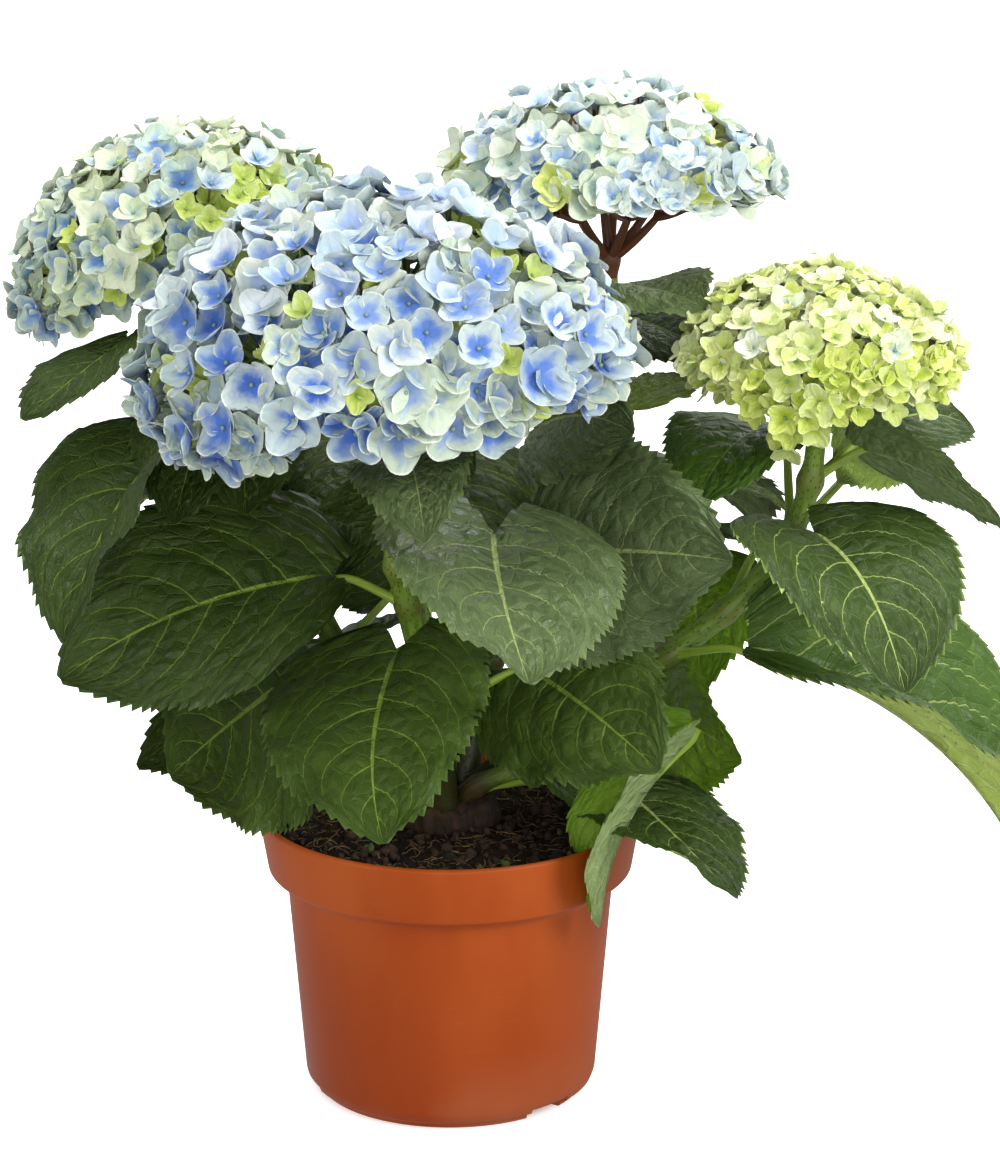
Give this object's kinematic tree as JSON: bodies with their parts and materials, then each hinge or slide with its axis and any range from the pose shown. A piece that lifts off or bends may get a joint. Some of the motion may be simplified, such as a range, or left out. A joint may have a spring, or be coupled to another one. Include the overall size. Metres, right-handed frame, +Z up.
{
  "type": "potted hydrangea shrub",
  "caption": "Potted mophead hydrangea: rounded flower heads on leaning canes over broad toothed leaves, in a banded terracotta-coloured nursery pot filled with peat.",
  "frame": {"origin": "middle of the pot's flat underside, on the surface that the pot stands on", "axes": "+Z up; -Y towards the side with the largest flower head; +X towards the lime green head"},
  "size_m": [0.3703, 0.3337, 0.364],
  "materials": {
    "pot": "moulded terracotta-coloured polypropylene, satin",
    "peat": "damp fibrous peat",
    "crown": "rough bark",
    "cane": "smooth green stem with corky spots",
    "leaf": "matt veined leaf, paler below",
    "leaf_pale": "young light green leaf",
    "bloom_front": "blue sepals with pale rims",
    "bloom_left": "pale green sepals flushed blue",
    "bloom_back": "pale blue sepals with cream rims",
    "bloom_right": "lime green sepals"
  },
  "bodies": {
    "root": {"pot": "pot", "root_ball": "peat", "crown": "crown", "cane_front": "cane", "cane_left": "cane", "cane_back": "cane", "cane_right": "cane", "cane_low": "cane", "cane_rear": "cane", "bloom_front": "bloom_front", "bloom_left": "bloom_left", "bloom_back": "bloom_back", "bloom_right": "bloom_right", "leaf_front_left": "leaf", "leaf_far_left": "leaf", "leaf_low_left": "leaf", "leaf_low_front": "leaf", "leaf_low_right": "leaf", "leaf_front": "leaf", "leaf_front_right": "leaf", "leaf_rim_right": "leaf", "leaf_side_right": "leaf", "leaf_pale_right": "leaf", "leaf_heart_right": "leaf", "leaf_arching": "leaf", "leaf_lime_left": "leaf", "leaf_lime_right": "leaf", "leaf_lime_rear": "leaf", "leaf_back_right": "leaf", "leaf_under_left": "leaf", "leaf_over_rim": "leaf", "leaf_under_front": "leaf", "leaf_under_right": "leaf", "leaf_middle_left": "leaf", "leaf_tip_left": "leaf", "leaf_low_middle": "leaf", "leaf_behind_right": "leaf", "leaf_behind_low": "leaf_pale", "leaf_lime_under": "leaf_pale", "leaf_bud_right": "leaf_pale", "leaf_low_rear": "leaf", "leaf_on_soil": "leaf", "leaf_rear_top": "leaf", "leaf_rear_high": "leaf", "leaf_rear_middle": "leaf", "leaf_rear_low": "leaf", "leaf_back_high": "leaf", "leaf_back_middle": "leaf", "leaf_back_low": "leaf", "leaf_left_rear": "leaf", "leaf_left_high": "leaf", "leaf_right_rear": "leaf"}
  },
  "joints": []
}
